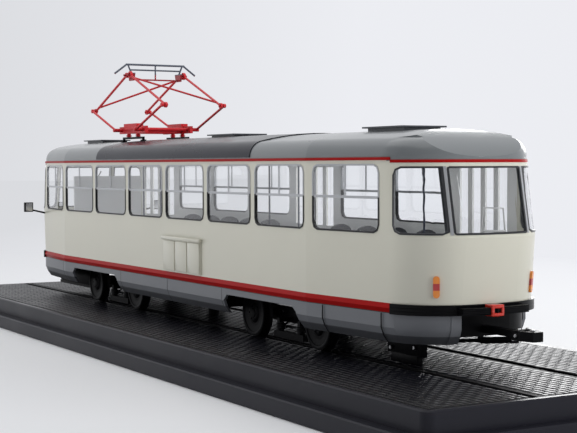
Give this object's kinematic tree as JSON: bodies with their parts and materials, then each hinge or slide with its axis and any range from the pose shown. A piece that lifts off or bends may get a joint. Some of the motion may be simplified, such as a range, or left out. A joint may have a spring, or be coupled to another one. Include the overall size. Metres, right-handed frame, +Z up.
{
  "type": "display model tram",
  "caption": "Scale model of a four-axle city tram with tapered ends, swivelling bogies, turning wheelsets and a folding diamond pantograph, fixed to a stepped display plinth",
  "frame": {"origin": "centre of the plinth's underside", "axes": "+X to the tram's front, +Y to its left side, +Z up"},
  "size_m": [0.4166, 0.1146, 0.117],
  "materials": {
    "plinth": "satin black",
    "paving": "fine paving grain",
    "steel": "bright",
    "cream": "satin",
    "roof_grey": "matt",
    "mat": "matt",
    "red": "satin",
    "skirt_grey": "satin",
    "black": "satin",
    "glass": "clear",
    "rubber": "matt",
    "silver": "satin",
    "lamp": "clear",
    "amber": "tinted",
    "inside": "matt",
    "seat": "matt",
    "head_grey": "satin"
  },
  "bodies": {
    "tram": {"plinth_base": "plinth", "paving_insert": "paving", "hold_down_screws": "steel", "body_side_left": "cream", "body_side_right": "cream", "body_end_front": "cream", "body_end_rear": "cream", "roof_shell": "roof_grey", "roof_mat": "mat", "gutter_lines": "red", "sill_mouldings": "red", "bumper_belts": "black", "skirt_left": "skirt_grey", "skirt_right": "skirt_grey", "side_glass": "glass", "end_glass": "glass", "side_gaskets": "rubber", "end_gaskets": "rubber", "window_bars": "silver", "door_leaves": "cream", "door_glass": "glass", "floor_plate": "black", "end_aprons": "black", "couplers": "black", "underfloor_boxes": "black", "lifeguard": "black", "headlamps": "lamp", "tail_lamps": "amber", "mirrors": "black", "louvre_cover": "cream", "roof_vents": "roof_grey", "seats": "seat", "grab_poles": "silver", "cab_fittings": "inside", "panto_base": "red", "panto_hoops": "black", "panto_pegs": "red"},
    "bogie_front": {"bogie_frame_front": "black", "bogie_motors_front": "black", "rail_brakes_front": "black"},
    "bogie_rear": {"bogie_frame_rear": "black", "bogie_motors_rear": "black", "rail_brakes_rear": "black"},
    "wheels_front_lead": {"wheelset_front_lead": "black"},
    "wheels_front_trail": {"wheelset_front_trail": "black"},
    "wheels_rear_lead": {"wheelset_rear_lead": "black"},
    "wheels_rear_trail": {"wheelset_rear_trail": "black"},
    "lower_front": {"panto_lower_front": "red"},
    "lower_rear": {"panto_lower_rear": "red"},
    "upper_front": {"panto_upper_front": "red"},
    "upper_rear": {"panto_upper_rear": "red"},
    "collector": {"panto_head": "head_grey"}
  },
  "joints": [
    {"name": "front_bogie_swivel", "type": "hinge", "parent": "tram", "child": "bogie_front", "pos_m": [0.0744, 0, 0.0218], "axis": [0, 0, 1], "range_deg": [-2, 2]},
    {"name": "front_lead_wheels_spin", "type": "hinge", "parent": "bogie_front", "child": "wheels_front_lead", "pos_m": [0.0965, 0, 0.02024], "axis": [0, 1, 0], "continuous": true},
    {"name": "front_trail_wheels_spin", "type": "hinge", "parent": "bogie_front", "child": "wheels_front_trail", "pos_m": [0.0523, 0, 0.02024], "axis": [0, 1, 0], "continuous": true},
    {"name": "rear_bogie_swivel", "type": "hinge", "parent": "tram", "child": "bogie_rear", "pos_m": [-0.0744, 0, 0.0218], "axis": [0, 0, 1], "range_deg": [-2, 2]},
    {"name": "rear_lead_wheels_spin", "type": "hinge", "parent": "bogie_rear", "child": "wheels_rear_lead", "pos_m": [-0.0523, 0, 0.02024], "axis": [0, 1, 0], "continuous": true},
    {"name": "rear_trail_wheels_spin", "type": "hinge", "parent": "bogie_rear", "child": "wheels_rear_trail", "pos_m": [-0.0965, 0, 0.02024], "axis": [0, 1, 0], "continuous": true},
    {"name": "pantograph_fold", "type": "hinge", "parent": "tram", "child": "lower_front", "pos_m": [0.0857, 0, 0.0881], "axis": [0, 1, 0], "range_deg": [-3, 16]},
    {"name": "front_knee", "type": "hinge", "parent": "lower_front", "child": "upper_front", "pos_m": [0.1127, 0, 0.0975], "axis": [0, 1, 0], "range_deg": [-24, 4.5]},
    {"name": "head_level", "type": "hinge", "parent": "upper_front", "child": "collector", "pos_m": [0.0764, 0, 0.1119], "axis": [0, 1, 0], "range_deg": [-1.5, 8]},
    {"name": "rear_arm", "type": "hinge", "parent": "tram", "child": "lower_rear", "pos_m": [0.0631, 0, 0.0881], "axis": [0, 1, 0], "range_deg": [-16, 3]},
    {"name": "rear_knee", "type": "hinge", "parent": "lower_rear", "child": "upper_rear", "pos_m": [0.0361, 0, 0.0975], "axis": [0, 1, 0], "range_deg": [-4.5, 24]}
  ],
  "couplings": [
    {"joint": "front_knee", "follows": "pantograph_fold", "ratio": -1.5},
    {"joint": "head_level", "follows": "pantograph_fold", "ratio": 0.5},
    {"joint": "rear_arm", "follows": "pantograph_fold", "ratio": -1},
    {"joint": "rear_knee", "follows": "pantograph_fold", "ratio": 1.5}
  ]
}
